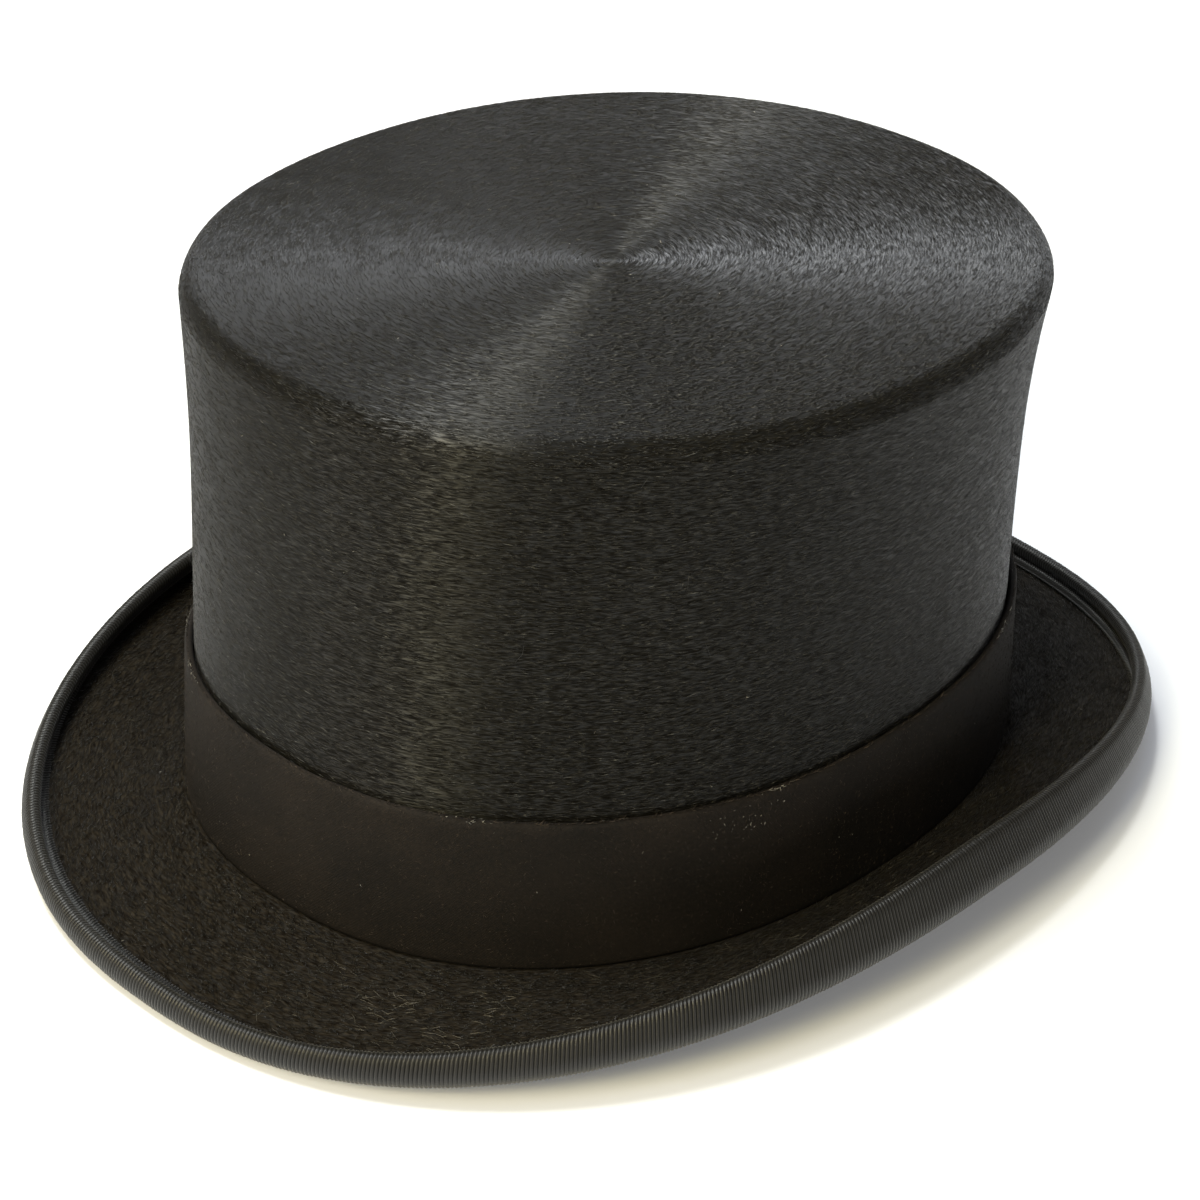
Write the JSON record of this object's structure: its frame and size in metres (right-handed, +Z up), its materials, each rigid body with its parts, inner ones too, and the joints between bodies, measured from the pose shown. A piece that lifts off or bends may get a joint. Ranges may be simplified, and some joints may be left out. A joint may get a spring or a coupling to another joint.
{
  "type": "top hat",
  "caption": "Low-crowned black fur-felt top hat with a matt cloth band, a curled ribbon-bound brim, a satin lining and a leather sweatband.",
  "frame": {"origin": "middle of the floor outline, with the hat standing on the front and back of its brim", "axes": "+Z up through the tip, -Y to the front of the hat, +X to the wearer's left"},
  "size_m": [0.2346, 0.2958, 0.1345],
  "materials": {
    "polished_felt": "fur felt brushed round in a circle to a sheen",
    "brim_felt": "rough matt nap",
    "stiffened_linen": "linen stiffened with shellac",
    "linen": "plain woven",
    "grosgrain": "ribbed ribbon",
    "band_cloth": "matt fulled wool",
    "satin": "soft sheen",
    "leather": "satin",
    "reed": "matt",
    "bow_ribbon": "ribbed ribbon"
  },
  "bodies": {
    "root": {"crown_felt": "polished_felt", "crown_shell_side": "stiffened_linen", "crown_shell_tip": "stiffened_linen", "brim_board": "stiffened_linen", "brim_felt_upper": "brim_felt", "brim_cloth_under": "brim_felt", "robin_strip": "linen", "brim_binding": "grosgrain", "hat_band": "band_cloth", "hat_band_tab": "band_cloth", "lining_side": "satin", "lining_tip": "satin", "sweatband": "leather", "sweatband_reed": "reed", "sweatband_seam_tape": "leather", "sweatband_bow": "bow_ribbon", "sweatband_bow_knot": "bow_ribbon"}
  },
  "joints": []
}
